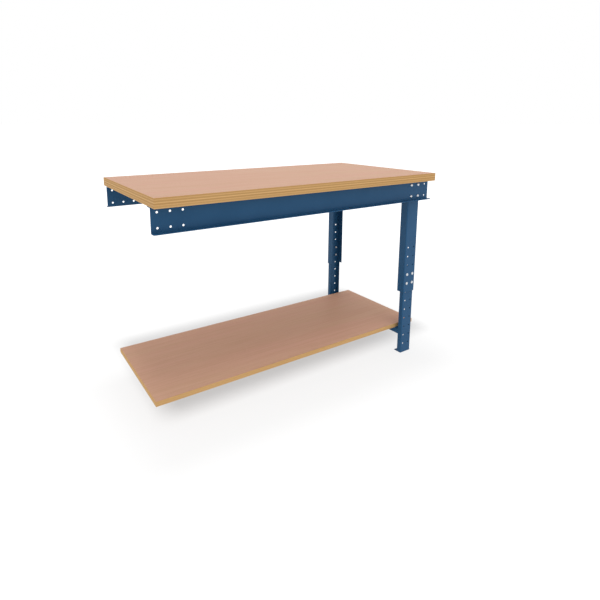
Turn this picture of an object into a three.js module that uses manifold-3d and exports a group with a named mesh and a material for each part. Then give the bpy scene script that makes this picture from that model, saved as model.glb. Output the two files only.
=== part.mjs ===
// Extension section of an assembly table: a beech worktop on two steel side rails, one pair of
// telescopic legs near its right end, and a lower shelf on a crossbar between the legs.
// Millimetres, +Z up. The origin is on the floor under the middle of the worktop, +X runs along
// the table to the leg end and +Y to the back.

import * as THREE from "three";
import { mergeVertices } from "three/addons/utils/BufferGeometryUtils.js";
import Module from "manifold-3d";

const wasm = await Module();
wasm.setup();

// Overall size
const LENGTH = 1500;
const DEPTH = 750;
const HEIGHT = 1000;

// Boards
const TOP_THICKNESS = 40;
const SHELF_DEPTH = 545;
const SHELF_THICKNESS = 22;
const SHELF_UNDERSIDE = 133;

// Sheet steel
const SHEET = 3;
const BEND_RADIUS = 2;
const BEND_STEPS = 4;
const WELD_GAP = 0.3;
const SLIDE_GAP = 0.5;

// Side rails: a web, a foot flange that turns out and a screw flange that turns in under the top
const RAIL_HEIGHT = 100;
const RAIL_INSET = 47;
const RAIL_FOOT_FLANGE = 28;
const RAIL_FOOT_CORNER = 9;
const RAIL_SCREW_FLANGE = 30;
const RAIL_HOLES_FROM_END = [25, 75, 125];
const RAIL_HOLE_MARGIN = 20;
const RAIL_BOLTED_COLUMNS = [75, 125];

// Telescopic legs: an outer channel bolted to the rail and an inner channel that slides in it
const LEG_FROM_END = 100;
const OUTER_WIDTH = 82;
const OUTER_DEPTH = 45;
const OUTER_BOTTOM = 353;
const OUTER_TOP_GAP = 6;
const OUTER_HOLE_ROWS = 5;
const INNER_DEPTH = 25;
const INNER_LENGTH = 500;
const INNER_HOLE_ROWS = 9;
const LEG_HOLE_PITCH = 50;
const LEG_HOLE_OFFSET = 20;
const FOOT_DEPTH = 45;
const FOOT_THICKNESS = 3;

// Cross members between the two legs
const SHELF_BEARER_HEIGHT = 28;
const HEAD_TIE_HEIGHT = 50;

// Fasteners
const BOLT_RADIUS = 4;
const BOLT_HEAD_RADIUS = 8;
const BOLT_HEAD_HEIGHT = 5;
const BOLT_HEAD_RIM = 1.4;
const BOLT_END = 3.5;
const BOLT_SIDES = 12;
const HOLE_RADIUS = 4.5;
const HOLE_SIDES = 12;
const NUT_FLATS = 13;
const NUT_HEIGHT = 6.5;
const SCREW_RADIUS = 2.2;
const SCREW_HEAD_RADIUS = 4.5;
const SCREW_HEAD_HEIGHT = 2.8;
const SCREW_POINT = 4;
const SCREW_SIDES = 8;
const SCREW_HOLE_RADIUS = 2.7;
const PILOT_CLEARANCE = 1;
const TOP_SCREW_REACH = 26;
const TOP_SCREW_PLACES = [-660, -220, 220, 560];
const SHELF_SCREW_REACH = 14;
const SHELF_SCREW_OFFSET_X = 22;
const SHELF_SCREW_OFFSET_Y = 200;

// Places worked out from the sizes above
const RIGHT_END = LENGTH / 2;
const TOP_UNDERSIDE = HEIGHT - TOP_THICKNESS;
const RAIL_BOTTOM = TOP_UNDERSIDE - RAIL_HEIGHT;
const RAIL_FACE = DEPTH / 2 - RAIL_INSET;
const RAIL_BACK = RAIL_FACE - SHEET;
const RAIL_HOLE_HEIGHTS = [RAIL_BOTTOM + RAIL_HOLE_MARGIN, TOP_UNDERSIDE - RAIL_HOLE_MARGIN];
const SCREW_FLANGE_MIDDLE = RAIL_BACK - RAIL_SCREW_FLANGE / 2;
const LEG_X = RIGHT_END - LEG_FROM_END;
const OUTER_FACE = RAIL_BACK;
const OUTER_BACK = OUTER_FACE - SHEET;
const OUTER_EDGE = OUTER_FACE - OUTER_DEPTH;
const OUTER_TOP = TOP_UNDERSIDE - OUTER_TOP_GAP;
const INNER_WIDTH = OUTER_WIDTH - 2 * SHEET - 2 * SLIDE_GAP;
const INNER_FACE = OUTER_BACK - SLIDE_GAP;
const INNER_BACK = INNER_FACE - SHEET;
const INNER_EDGE = INNER_FACE - INNER_DEPTH;
const LEG_BOLT_HEIGHTS = [OUTER_BOTTOM + LEG_HOLE_PITCH, OUTER_BOTTOM + 2 * LEG_HOLE_PITCH];
const LEG_COLUMNS = [LEG_X - LEG_HOLE_OFFSET, LEG_X + LEG_HOLE_OFFSET];
const RAIL_BOLT_COLUMNS = RAIL_BOLTED_COLUMNS.map((fromEnd) => RIGHT_END - fromEnd);
const SIDES = [
  { name: "front", sign: -1 },
  { name: "rear", sign: 1 },
];

const beech = new THREE.MeshStandardMaterial({ color: 0xd8b594, roughness: 0.55, metalness: 0 });
const blueSteel = new THREE.MeshStandardMaterial({ color: 0x2f5377, roughness: 0.45, metalness: 0.1 });
const zinc = new THREE.MeshStandardMaterial({ color: 0xd0d3d6, roughness: 0.3, metalness: 0.9 });

// Directions in which a drawn section is extruded: its own x, y and z become these axes.
const X_AXIS = new THREE.Vector3(1, 0, 0);
const Y_AXIS = new THREE.Vector3(0, 1, 0);
const Z_AXIS = new THREE.Vector3(0, 0, 1);
const YZ_ALONG_X = new THREE.Matrix4().makeBasis(Y_AXIS, Z_AXIS, X_AXIS);
const ZX_ALONG_Y = new THREE.Matrix4().makeBasis(Z_AXIS, X_AXIS, Y_AXIS);

function solidOf(geometry) {
  const bare = geometry.clone();
  bare.deleteAttribute("normal");
  bare.deleteAttribute("uv");
  const merged = mergeVertices(bare, 1e-4);
  return new wasm.Manifold(
    new wasm.Mesh({
      numProp: 3,
      vertProperties: new Float32Array(merged.attributes.position.array),
      triVerts: new Uint32Array(merged.index.array),
    }),
  );
}

function geometryOf(solid) {
  const { vertProperties, triVerts } = solid.getMesh();
  const geometry = new THREE.BufferGeometry();
  geometry.setAttribute("position", new THREE.BufferAttribute(vertProperties, 3));
  geometry.setIndex(new THREE.BufferAttribute(triVerts, 1));
  geometry.computeVertexNormals();
  return geometry;
}

function cut(geometry, cutters) {
  const left = cutters.reduce((solid, cutter) => solid.subtract(solidOf(cutter)), solidOf(geometry));
  return geometryOf(left);
}

function piece(name, geometry, material) {
  const mesh = new THREE.Mesh(geometry, material);
  mesh.name = name;
  return mesh;
}

// Section of a sheet bent square along a path of straight runs through its middle.
function bentSheet(path) {
  const half = SHEET / 2;
  const middle = BEND_RADIUS + half;
  const points = path.map(([a, b]) => new THREE.Vector2(a, b));
  const runs = points.slice(1).map((point, i) => point.clone().sub(points[i]).normalize());
  const leftOf = (run) => new THREE.Vector2(-run.y, run.x);
  const beside = (point, run, offset) => point.clone().addScaledVector(leftOf(run), offset);

  const bends = runs.slice(1).map((next, i) => {
    const run = runs[i];
    const turn = Math.sign(run.cross(next));
    const start = points[i + 1].clone().addScaledVector(run, -middle);
    const centre = beside(start, run, turn * middle);
    const from = leftOf(run).multiplyScalar(-turn).angle();
    return { turn, centre, from, to: from + (turn * Math.PI) / 2 };
  });

  const shape = new THREE.Shape();
  const bendTo = ({ turn, centre }, radius, from, to, forward) => {
    shape.lineTo(centre.x + radius * Math.cos(from), centre.y + radius * Math.sin(from));
    shape.absarc(centre.x, centre.y, radius, from, to, forward ? turn < 0 : turn > 0);
  };
  const begin = beside(points[0], runs[0], half);
  shape.moveTo(begin.x, begin.y);
  bends.forEach((bend) => bendTo(bend, middle - bend.turn * half, bend.from, bend.to, true));
  const lastRun = runs[runs.length - 1];
  const lastPoint = points[points.length - 1];
  for (const offset of [half, -half]) {
    const corner = beside(lastPoint, lastRun, offset);
    shape.lineTo(corner.x, corner.y);
  }
  [...bends].reverse().forEach((bend) => bendTo(bend, middle + bend.turn * half, bend.to, bend.from, false));
  const end = beside(points[0], runs[0], -half);
  shape.lineTo(end.x, end.y);
  shape.closePath();
  return shape;
}

function extrude(shape, length, steps = BEND_STEPS) {
  return new THREE.ExtrudeGeometry(shape, { depth: length, bevelEnabled: false, curveSegments: steps });
}

function box(low, high) {
  const size = high.map((value, i) => value - low[i]);
  const middle = high.map((value, i) => (value + low[i]) / 2);
  return new THREE.BoxGeometry(...size).translate(...middle);
}

// Round cutter through a wall that faces the front or the back
function wallHole(x, y, z) {
  return new THREE.CylinderGeometry(HOLE_RADIUS, HOLE_RADIUS, 4 * SHEET, HOLE_SIDES).translate(x, y, z);
}

// Round upright cutter between two heights
function uprightHole(radius, x, y, low, high) {
  const drill = new THREE.CylinderGeometry(radius, radius, high - low, SCREW_SIDES);
  return drill.rotateX(Math.PI / 2).translate(x, y, (low + high) / 2);
}

// What a rounded corner takes off a flat flange, in plan
function flangeCorner(x, y) {
  const toX = Math.sign(x);
  const toY = Math.sign(y);
  const centre = [x - toX * RAIL_FOOT_CORNER, y - toY * RAIL_FOOT_CORNER];
  const waste = new THREE.Shape();
  waste.moveTo(x + toX, y + toY);
  waste.lineTo(centre[0], y + toY);
  waste.lineTo(centre[0], y);
  waste.absarc(...centre, RAIL_FOOT_CORNER, (toY * Math.PI) / 2, toX > 0 ? 0 : toY * Math.PI, toX * toY > 0);
  waste.lineTo(x + toX, centre[1]);
  waste.closePath();
  return extrude(waste, 2 * SHEET, BEND_STEPS + 1).translate(0, 0, RAIL_BOTTOM - SHEET / 2);
}

function makeWorktop() {
  const board = box([-RIGHT_END, -DEPTH / 2, TOP_UNDERSIDE], [RIGHT_END, DEPTH / 2, HEIGHT]);
  const bottom = TOP_UNDERSIDE - PILOT_CLEARANCE;
  const top = TOP_UNDERSIDE - SHEET + TOP_SCREW_REACH + PILOT_CLEARANCE;
  const pilots = SIDES.flatMap(({ sign }) =>
    TOP_SCREW_PLACES.map((x) => uprightHole(SCREW_HOLE_RADIUS, x, sign * SCREW_FLANGE_MIDDLE, bottom, top)),
  );
  return piece("worktop", cut(board, pilots), beech);
}

function makeLowerShelf() {
  const top = SHELF_UNDERSIDE + SHELF_THICKNESS;
  const low = [-RIGHT_END, -SHELF_DEPTH / 2, SHELF_UNDERSIDE];
  const board = box(low, [RIGHT_END, SHELF_DEPTH / 2, top]);
  const bottom = SHELF_UNDERSIDE - PILOT_CLEARANCE;
  const reach = SHELF_UNDERSIDE - SHEET + SHELF_SCREW_REACH + PILOT_CLEARANCE;
  const pilots = shelfScrewPlaces().map(([x, y]) => uprightHole(SCREW_HOLE_RADIUS, x, y, bottom, reach));
  return piece("lower_shelf", cut(board, pilots), beech);
}

function makeRail({ name, sign }) {
  const webMiddle = RAIL_FACE - SHEET / 2;
  const footTip = RAIL_FACE + RAIL_FOOT_FLANGE;
  const section = bentSheet([
    [sign * footTip, RAIL_BOTTOM + SHEET / 2],
    [sign * webMiddle, RAIL_BOTTOM + SHEET / 2],
    [sign * webMiddle, TOP_UNDERSIDE - SHEET / 2],
    [sign * (RAIL_BACK - RAIL_SCREW_FLANGE), TOP_UNDERSIDE - SHEET / 2],
  ]);
  const bar = extrude(section, LENGTH).translate(0, 0, -RIGHT_END).applyMatrix4(YZ_ALONG_X);
  const cutters = TOP_SCREW_PLACES.map((x) =>
    uprightHole(SCREW_HOLE_RADIUS, x, sign * SCREW_FLANGE_MIDDLE, TOP_UNDERSIDE - 2 * SHEET, TOP_UNDERSIDE + SHEET),
  );
  for (const end of [-1, 1]) {
    cutters.push(flangeCorner(end * RIGHT_END, sign * footTip));
    for (const fromEnd of RAIL_HOLES_FROM_END) {
      for (const z of RAIL_HOLE_HEIGHTS) {
        cutters.push(wallHole(end * (RIGHT_END - fromEnd), sign * webMiddle, z));
      }
    }
  }
  return piece(`${name}_rail`, cut(bar, cutters), blueSteel);
}

// A channel standing upright, open towards the middle of the table
function legChannel({ sign }, width, face, edge, bottom, top) {
  const flange = width / 2 - SHEET / 2;
  const web = sign * (face - SHEET / 2);
  const section = bentSheet([
    [LEG_X - flange, sign * edge],
    [LEG_X - flange, web],
    [LEG_X + flange, web],
    [LEG_X + flange, sign * edge],
  ]);
  return extrude(section, top - bottom).translate(0, 0, bottom);
}

function legHoles({ sign }, face, bottom, rows) {
  const heights = Array.from({ length: rows }, (_, row) => bottom + (row + 1) * LEG_HOLE_PITCH);
  const y = sign * (face - SHEET / 2);
  return heights.flatMap((z) => LEG_COLUMNS.map((x) => wallHole(x, y, z)));
}

function makeOuterLeg(side) {
  const channel = legChannel(side, OUTER_WIDTH, OUTER_FACE, OUTER_EDGE, OUTER_BOTTOM, OUTER_TOP);
  const y = side.sign * (OUTER_FACE - SHEET / 2);
  const railHoles = RAIL_BOLT_COLUMNS.flatMap((x) => RAIL_HOLE_HEIGHTS.map((z) => wallHole(x, y, z)));
  const holes = legHoles(side, OUTER_FACE, OUTER_BOTTOM, OUTER_HOLE_ROWS);
  return piece(`${side.name}_outer_leg`, cut(channel, [...railHoles, ...holes]), blueSteel);
}

function makeInnerLeg(side) {
  const top = FOOT_THICKNESS + INNER_LENGTH;
  const channel = legChannel(side, INNER_WIDTH, INNER_FACE, INNER_EDGE, FOOT_THICKNESS, top);
  const holes = legHoles(side, INNER_FACE, FOOT_THICKNESS, INNER_HOLE_ROWS);
  return piece(`${side.name}_inner_leg`, cut(channel, holes), blueSteel);
}

function makeFootPlate({ name, sign }) {
  const ends = [sign * INNER_FACE, sign * (INNER_FACE - FOOT_DEPTH)];
  const low = [LEG_X - INNER_WIDTH / 2, Math.min(...ends), 0];
  const high = [LEG_X + INNER_WIDTH / 2, Math.max(...ends), FOOT_THICKNESS];
  return piece(`${name}_foot_plate`, box(low, high), blueSteel);
}

// A channel lying across the table, open downwards, that ends at the legs' flange edges
function crossChannel(width, edge, bottom, top) {
  const flange = width / 2 - SHEET / 2;
  const reach = edge - WELD_GAP;
  const section = bentSheet([
    [bottom, LEG_X - flange],
    [top - SHEET / 2, LEG_X - flange],
    [top - SHEET / 2, LEG_X + flange],
    [bottom, LEG_X + flange],
  ]);
  return extrude(section, 2 * reach).translate(0, 0, -reach).applyMatrix4(ZX_ALONG_Y);
}

function shelfScrewPlaces() {
  const signs = [-1, 1];
  return signs.flatMap((toX) =>
    signs.map((toY) => [LEG_X + toX * SHELF_SCREW_OFFSET_X, toY * SHELF_SCREW_OFFSET_Y]),
  );
}

function makeShelfBearer() {
  const bottom = SHELF_UNDERSIDE - SHELF_BEARER_HEIGHT;
  const channel = crossChannel(INNER_WIDTH, INNER_EDGE, bottom, SHELF_UNDERSIDE);
  const holes = shelfScrewPlaces().map(([x, y]) =>
    uprightHole(SCREW_HOLE_RADIUS, x, y, SHELF_UNDERSIDE - 2 * SHEET, SHELF_UNDERSIDE + SHEET),
  );
  return piece("shelf_bearer", cut(channel, holes), blueSteel);
}

function makeHeadTie() {
  const channel = crossChannel(OUTER_WIDTH, OUTER_EDGE, OUTER_TOP - HEAD_TIE_HEIGHT, OUTER_TOP);
  return piece("head_tie", channel, blueSteel);
}

// A round-headed bolt on the lathe axis: the head stands above y = 0, the shank hangs below it.
function boltGeometry(shank) {
  const points = [
    [0, -shank],
    [BOLT_RADIUS, -shank],
    [BOLT_RADIUS, 0],
    [BOLT_HEAD_RADIUS, 0],
    [BOLT_HEAD_RADIUS, BOLT_HEAD_RIM],
    [BOLT_HEAD_RADIUS * 0.82, BOLT_HEAD_HEIGHT * 0.68],
    [BOLT_HEAD_RADIUS * 0.45, BOLT_HEAD_HEIGHT * 0.93],
    [0, BOLT_HEAD_HEIGHT],
  ];
  return new THREE.LatheGeometry(points.map(([r, y]) => new THREE.Vector2(r, y)), BOLT_SIDES);
}

// A hexagon nut that grows from y = 0 towards -y
function nutGeometry(open) {
  const corner = NUT_FLATS / Math.sqrt(3);
  const hexagon = new THREE.Shape();
  for (let i = 0; i < 6; i += 1) {
    const angle = (i * Math.PI) / 3;
    hexagon[i ? "lineTo" : "moveTo"](corner * Math.cos(angle), corner * Math.sin(angle));
  }
  hexagon.closePath();
  if (open) {
    hexagon.holes.push(new THREE.Path().absarc(0, 0, HOLE_RADIUS, 0, 2 * Math.PI, true));
  }
  return extrude(hexagon, NUT_HEIGHT, HOLE_SIDES).rotateX(Math.PI / 2);
}

// A nut with the end of its bolt standing out of it
function closedNutGeometry() {
  const overlap = 1;
  const length = BOLT_END + overlap;
  const end = new THREE.CylinderGeometry(BOLT_RADIUS, BOLT_RADIUS, length, BOLT_SIDES);
  end.translate(0, overlap - NUT_HEIGHT - length / 2, 0);
  return geometryOf(solidOf(nutGeometry(false)).add(solidOf(end)));
}

// Puts a fastener on the front or rear face: its +y points out of the table.
function fasten(mesh, { sign }, x, y, z) {
  mesh.position.set(x, sign * y, z);
  mesh.rotation.x = sign < 0 ? Math.PI : 0;
  return mesh;
}

function makeRailFasteners(side) {
  const shank = 2 * SHEET + NUT_HEIGHT + BOLT_END;
  const bolt = boltGeometry(shank);
  const nut = nutGeometry(true);
  const places = RAIL_BOLT_COLUMNS.flatMap((x) => RAIL_HOLE_HEIGHTS.map((z) => [x, z]));
  return places.flatMap(([x, z], i) => [
    fasten(piece(`${side.name}_rail_bolt_${i + 1}`, bolt, zinc), side, x, RAIL_FACE, z),
    fasten(piece(`${side.name}_rail_nut_${i + 1}`, nut, zinc), side, x, OUTER_BACK, z),
  ]);
}

// The height bolts clamp the inner leg between head and nut. Head side and nut side are separate
// pieces that leave the inner leg's wall free to slide between them.
function makeHeightFasteners(side) {
  const bolt = boltGeometry(SHEET - WELD_GAP);
  const nut = closedNutGeometry();
  const places = LEG_COLUMNS.flatMap((x) => LEG_BOLT_HEIGHTS.map((z) => [x, z]));
  return places.flatMap(([x, z], i) => [
    fasten(piece(`${side.name}_height_bolt_${i + 1}`, bolt, zinc), side, x, OUTER_FACE, z),
    fasten(piece(`${side.name}_height_nut_${i + 1}`, nut, zinc), side, x, INNER_BACK - WELD_GAP, z),
  ]);
}

// A wood screw on the lathe axis: the head hangs below y = 0 and the point stands up.
function screwGeometry(reach) {
  const points = [
    [0, -SCREW_HEAD_HEIGHT],
    [SCREW_HEAD_RADIUS * 0.6, -SCREW_HEAD_HEIGHT],
    [SCREW_HEAD_RADIUS, 0],
    [SCREW_RADIUS, 0],
    [SCREW_RADIUS, reach - SCREW_POINT],
    [0, reach],
  ];
  return new THREE.LatheGeometry(points.map(([r, y]) => new THREE.Vector2(r, y)), SCREW_SIDES);
}

function makeScrew(name, geometry, x, y, z) {
  const screw = piece(name, geometry, zinc);
  screw.position.set(x, y, z);
  screw.rotation.x = Math.PI / 2;
  return screw;
}

function makeTopScrews({ name, sign }) {
  const geometry = screwGeometry(TOP_SCREW_REACH);
  const z = TOP_UNDERSIDE - SHEET;
  return TOP_SCREW_PLACES.map((x, i) =>
    makeScrew(`${name}_top_screw_${i + 1}`, geometry, x, sign * SCREW_FLANGE_MIDDLE, z),
  );
}

function makeShelfScrews() {
  const geometry = screwGeometry(SHELF_SCREW_REACH);
  const z = SHELF_UNDERSIDE - SHEET;
  return shelfScrewPlaces().map(([x, y], i) => makeScrew(`shelf_screw_${i + 1}`, geometry, x, y, z));
}

const lowerFrame = new THREE.Group();
lowerFrame.add(makeShelfBearer(), makeLowerShelf(), ...makeShelfScrews());

const upperFrame = new THREE.Group();
upperFrame.add(makeWorktop(), makeHeadTie());

for (const side of SIDES) {
  lowerFrame.add(makeInnerLeg(side), makeFootPlate(side));
  upperFrame.add(makeRail(side), makeOuterLeg(side));
  upperFrame.add(...makeRailFasteners(side), ...makeHeightFasteners(side), ...makeTopScrews(side));
}

const assemblyTable = new THREE.Group();
assemblyTable.add(lowerFrame, upperFrame);

export default assemblyTable;
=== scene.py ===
"""Dresses the add-on section of an assembly table: beech boards, blue bent steel and zinc fasteners.

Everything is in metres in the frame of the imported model: the floor is z = 0, +X runs along the table
to the end with the legs, and +Y points to the back.
"""

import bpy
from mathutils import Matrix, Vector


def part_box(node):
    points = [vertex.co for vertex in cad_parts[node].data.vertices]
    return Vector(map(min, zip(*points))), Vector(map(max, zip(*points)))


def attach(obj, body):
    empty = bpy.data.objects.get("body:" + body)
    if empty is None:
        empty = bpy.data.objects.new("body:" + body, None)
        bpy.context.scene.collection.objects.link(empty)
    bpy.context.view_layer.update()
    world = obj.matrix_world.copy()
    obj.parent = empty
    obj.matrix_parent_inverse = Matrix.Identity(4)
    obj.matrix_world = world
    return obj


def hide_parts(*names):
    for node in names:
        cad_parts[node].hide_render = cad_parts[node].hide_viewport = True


bl_info = {
    "name": "Assembly table section",
    "version": (1, 0, 0),
    "blender": (4, 5, 0),
    "location": "View3D > Sidebar > Assembly table",
    "description": "Builds the boards, steel frame, fasteners and stage of an assembly table section",
    "category": "Object",
}

import math

import bmesh
import bpy
from bpy.props import FloatProperty, FloatVectorProperty, IntProperty, PointerProperty
from bpy.types import NodeSocket, Operator, Panel, PropertyGroup
from mathutils import Vector

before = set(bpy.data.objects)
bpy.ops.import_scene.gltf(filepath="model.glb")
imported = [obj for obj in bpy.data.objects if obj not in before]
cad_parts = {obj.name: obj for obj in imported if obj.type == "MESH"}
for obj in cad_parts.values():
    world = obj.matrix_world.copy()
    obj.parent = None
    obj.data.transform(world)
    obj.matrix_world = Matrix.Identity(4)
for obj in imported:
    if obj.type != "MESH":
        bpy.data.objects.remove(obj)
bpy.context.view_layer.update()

UPPER = "upper_frame"
LOWER = "lower_frame"
SIDES = {"front": -1, "rear": 1}
MM = 0.001

# Holes and flanges of the steel, in metres
RAIL_HOLES_FROM_END = (0.025, 0.075, 0.125)
RAIL_HOLE_MARGIN = 0.020
RAIL_FOOT_FLANGE = 0.028
RAIL_FOOT_CORNER = 0.009
RAIL_SCREW_FLANGE = 0.030
LEG_HOLE_PITCH = 0.050
LEG_HOLE_OFFSET = 0.020
OUTER_HOLE_ROWS = 5
INNER_HOLE_ROWS = 9
DRILL_REACH = 4  # sheet thicknesses

# Small shapes of the fasteners
FASTENERS_PER_SIDE = 4
SHANK_GAP = 0.3 * MM
SHANK_CHAMFER = 0.6 * MM
HEAD_EDGE = 0.3 * MM
THREAD_DEPTH = 0.55  # of the pitch
NUT_FACE = 0.97  # of the width across flats
NUT_SLOPE = math.tan(math.radians(30))
NUT_BORE_GAP = 0.2 * MM
NUT_BORE_DEPTH = 0.4 * MM
BOLT_TIP_NARROWING = 0.8 * MM
BOLT_TIP_LENGTH = 0.4 * MM
SCREW_NECK = 4 * MM
SCREW_POINT = 5 * MM
SCREW_DOME = (1.35, 1.1, 0.8, 0.45, 0.15)  # angles of the points on the head, in radians

# Ripples and ends of a weld bead, as shares of its radius
WELD_RIPPLE = (0.75, 1.0)
WELD_END = 0.1

# How finely rounded shapes are drawn, and the angles from which their edges are sharp
ARC_STEPS = 8
ARRIS_STEPS = 4
BURR_STEPS = 2
BOLT_SIDES = 24
SCREW_SIDES = 20
WELD_SIDES = 12
ROUND_SHARP = math.radians(35)
NUT_SHARP = math.radians(25)
BURR_SHARP = math.radians(40)
FLAT_WEIGHT = 100  # large faces alone set the shading of their edges
LEVEL = 0.99  # Z of a level face's normal, at least
TOUCHING = 0.01 * MM


# Settings


def linear(red, green, blue):
    """A colour given in 0 to 255 screen values, as linear RGBA."""

    def one(value):
        share = value / 255
        return share / 12.92 if share <= 0.04045 else ((share + 0.055) / 1.055) ** 2.4

    return one(red), one(green), one(blue), 1.0


def setting(name, description, default, **kind):
    """A number, or a vector for a tuple, that can be changed; kind gives its unit or subtype."""
    if isinstance(default, tuple):
        size = len(default)
        return FloatVectorProperty(name=name, description=description, default=default, size=size, **kind)
    return FloatProperty(name=name, description=description, default=default, **kind)


def length(name, description, default):
    """A setting in metres."""
    return setting(name, description, default, unit="LENGTH", precision=4)


def in_degrees(name, description, default):
    """An angle setting from a value in degrees."""
    return setting(name, description, math.radians(default), subtype="ANGLE")


def colour(name, description, screen):
    """A colour setting from 0 to 255 screen values."""
    return setting(name, description, linear(*screen), subtype="COLOR", min=0, max=1)


class BoardSettings(PropertyGroup):
    """Sizes and colours of the beech boards"""

    edge_radius: length("Edge radius", "Rounding of the boards' arrises", 1.6 * MM)
    top_ply: length("Worktop ply", "Thickness of one glued layer of the worktop", 5 * MM)
    shelf_ply: length("Shelf ply", "Thickness of one glued layer of the shelf", 2.2 * MM)
    top_contrast: setting("Worktop contrast", "How much the worktop's plies differ", 1.0)
    shelf_contrast: setting("Shelf contrast", "How much the shelf's plies differ", 0.6)
    face: colour("Face", "Veneer of the board faces", (212, 170, 142))
    face_red: colour("Red bands", "Redder bands in the veneer", (213, 166, 142))
    face_dark: colour("Streaks", "Darker grain streaks", (184, 139, 108))
    edge_light: colour("Light plies", "Plies that show long grain", (242, 197, 136))
    edge_dark: colour("Dark plies", "Plies that show end grain", (206, 158, 100))
    glue: colour("Glue lines", "Lines between the plies", (150, 108, 62))


class SteelSettings(PropertyGroup):
    """Sizes and colour of the bent sheet steel"""

    sheet: length("Sheet", "Thickness of the sheet", 3 * MM)
    bend: length("Bend", "Inside radius of the bends", 2 * MM)
    hole_radius: length("Hole radius", "Radius of the bolt holes", 4.5 * MM)
    burr: length("Edge break", "Rounding of the cut edges", 0.4 * MM)
    hole_sides: IntProperty(name="Hole sides", description="Sides of a bolt hole", default=28, min=8)
    weld_radius: length("Weld radius", "Radius of the weld beads", 2.6 * MM)
    weld_step: length("Weld step", "Spacing of the ripples in a weld bead", 2 * MM)
    weld_seed: IntProperty(name="Weld seed", description="Varies the ripples of the weld beads", default=3)
    paint: colour("Paint", "Powder coat", (41, 92, 134))
    paint_dark: colour("Paint shade", "Thicker patches of the powder coat", (38, 88, 129))


class FastenerSettings(PropertyGroup):
    """Sizes and colour of bolts, nuts and screws"""

    bolt_radius: length("Bolt radius", "Radius of the bolt shank", 4 * MM)
    head_radius: length("Head radius", "Radius of the round bolt head", 8 * MM)
    head_height: length("Head height", "Height of the round bolt head", 5 * MM)
    head_rim: length("Head rim", "Height of the straight rim below the head's dome", 1.4 * MM)
    nut_flats: length("Nut flats", "Width of the nut across its flats", 13 * MM)
    nut_height: length("Nut height", "Height of the nut", 6.5 * MM)
    bolt_end: length("Bolt end", "How far the bolt stands out of its nut", 3.5 * MM)
    pitch: length("Pitch", "Thread pitch of the bolts", 1.25 * MM)
    screw_head: length("Screw head", "Radius of the wood screws' head", 4.5 * MM)
    screw_height: length("Screw head height", "Height of the wood screws' head", 2.8 * MM)
    screw_shank: length("Screw shank", "Radius of the wood screws' shank", 2.2 * MM)
    screw_pitch: length("Screw pitch", "Thread pitch of the wood screws", 2.2 * MM)
    zinc: colour("Zinc", "Bright zinc plating", (214, 218, 222))
    seed: IntProperty(name="Seed", description="Turns each fastener by its own angle", default=7)


class StageSettings(PropertyGroup):
    """Camera, floor and light"""

    camera: setting("Camera", "Place of the camera", (-1.2539, -1.9555, 1.262), subtype="TRANSLATION")
    turn: in_degrees("Turn", "Angle of the view from +Y towards +X", 33.03)
    tilt: in_degrees("Tilt", "Angle of the view below level", 10.75)
    lens: setting("Lens", "Focal length in millimetres", 27.82)
    shift: setting("Shift", "Lens shift as shares of the picture's width", (0.035, -0.15))
    floor: colour("Floor", "Colour of the floor", (118, 118, 118))
    floor_reach: length("Floor reach", "Half the width of the floor", 200.0)
    floor_lift: setting("Floor lift", "Glow of the floor near the table", 0.52)
    floor_fade: length("Floor fade", "Start and end of the floor's fade to white", (1.0, 4.0))
    floor_glow: setting("Floor glow", "Glow of the floor as light on the table", 0.17)
    sky: setting("Sky", "Strength of the even light from all round", 0.77)
    overhead: setting("Overhead lamp", "Strength of the lamp over the table", 0.28)
    overhead_from: setting("From overhead", "Direction of that lamp", (0.0, 0.13, 1.0), subtype="DIRECTION")
    overhead_width: in_degrees("Overhead width", "Apparent width of that lamp", 12)
    front: setting("Front lamp", "Strength of the lamp before the table", 0.36)
    front_from: setting("From the front", "Direction of that lamp", (0.0, -0.32, 1.0), subtype="DIRECTION")
    front_width: in_degrees("Front width", "Apparent width of that lamp", 18)
    side: setting("Side lamp", "Strength of the lamp at the right back", 0.1)
    side_from: setting("From the side", "Direction of that lamp", (0.62, 0.78, 1.0), subtype="DIRECTION")
    side_width: in_degrees("Side width", "Apparent width of that lamp", 24)
    floor_top: setting("Floor overhead lamp", "Power of the lamp over the floor", 284.0, unit="POWER")
    floor_top_at: setting("Overhead place", "Place of that lamp", (0.19, 0.74, 7.2), subtype="TRANSLATION")
    floor_top_size: length("Overhead size", "Length and width of that lamp", (2.17, 1.55))
    floor_front: setting("Floor front lamp", "Power of the front lamp on the floor", 1948.0, unit="POWER")
    floor_front_at: setting("Front place", "Place of that lamp", (-1.53, -2.3, 10.1), subtype="TRANSLATION")
    floor_front_size: length("Front size", "Length and width of that lamp", (1.4, 1.4))


class TableSettings(PropertyGroup):
    """All settings of the table"""

    boards: PointerProperty(type=BoardSettings)
    steel: PointerProperty(type=SteelSettings)
    fasteners: PointerProperty(type=FastenerSettings)
    stage: PointerProperty(type=StageSettings)


# Node helpers


def feed(tree, node, inputs):
    """Sets a node's inputs: each is a number, a colour or the socket that feeds it."""
    for key, value in inputs.items():
        if isinstance(value, NodeSocket):
            tree.links.new(value, node.inputs[key])
        else:
            node.inputs[key].default_value = value


def add_node(tree, kind, inputs=None, **settings):
    """A node with its settings and its inputs."""
    node = tree.nodes.new(kind)
    for key, value in settings.items():
        setattr(node, key, value)
    feed(tree, node, inputs or {})
    return node


def maths(tree, operation, first, second=0.0):
    """The result of a Math node."""
    return add_node(tree, "ShaderNodeMath", {0: first, 1: second}, operation=operation).outputs[0]


def vector_maths(tree, operation, first, second):
    """The vector that a Vector Math node makes of two others."""
    return add_node(tree, "ShaderNodeVectorMath", {0: first, 1: second}, operation=operation).outputs[0]


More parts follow.
